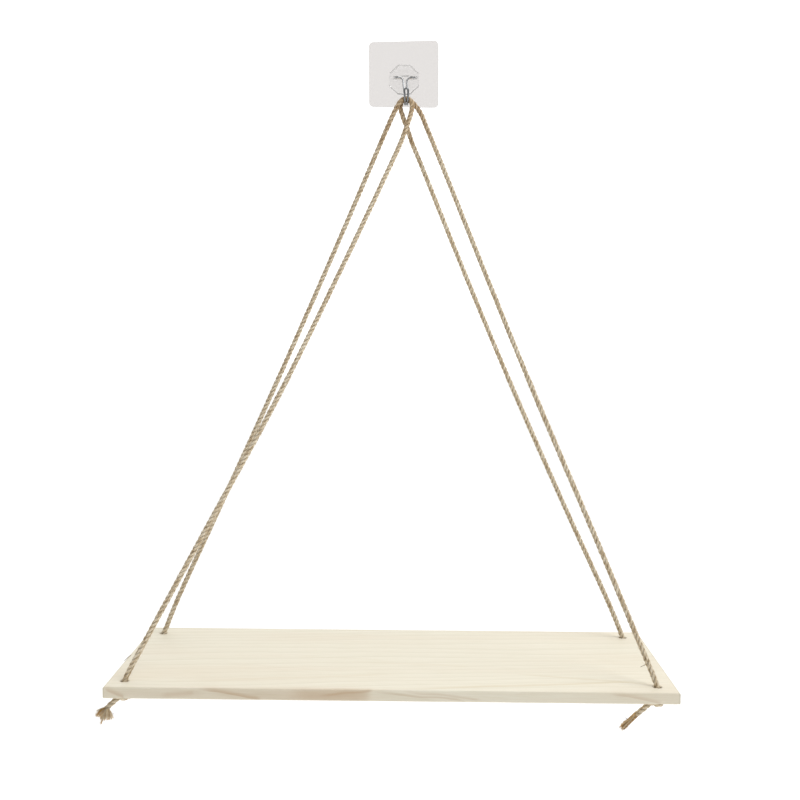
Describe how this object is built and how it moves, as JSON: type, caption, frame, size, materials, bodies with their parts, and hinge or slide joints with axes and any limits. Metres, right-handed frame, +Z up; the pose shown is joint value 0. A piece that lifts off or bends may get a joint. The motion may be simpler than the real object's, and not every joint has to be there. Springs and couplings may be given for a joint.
{
  "type": "rope wall shelf with stick-on wall hook",
  "caption": "Thin pine board hung level by its corners from jute ropes that lie over a wire hook on a clear stick-on wall pad.",
  "frame": {"origin": "middle of the wall pad's back face, which lies on the wall", "axes": "+Y into the wall, out of the pad's back; +Z up; +X to the right along the board, seen from the room"},
  "size_m": [0.407, 0.15, 0.5093],
  "materials": {
    "pine": "sanded, bare",
    "jute": "twisted, hairy",
    "clear_pvc": "clear, smooth",
    "clear_plastic": "clear, moulded",
    "stainless_wire": "bright drawn"
  },
  "bodies": {
    "root": {"board": "pine", "rope_left": "jute", "rope_right": "jute", "knot_front_left": "jute", "knot_front_right": "jute", "knot_back_left": "jute", "knot_back_right": "jute", "wall_pad": "clear_pvc", "hook_boss": "clear_plastic", "wire_hook": "stainless_wire"}
  },
  "joints": []
}
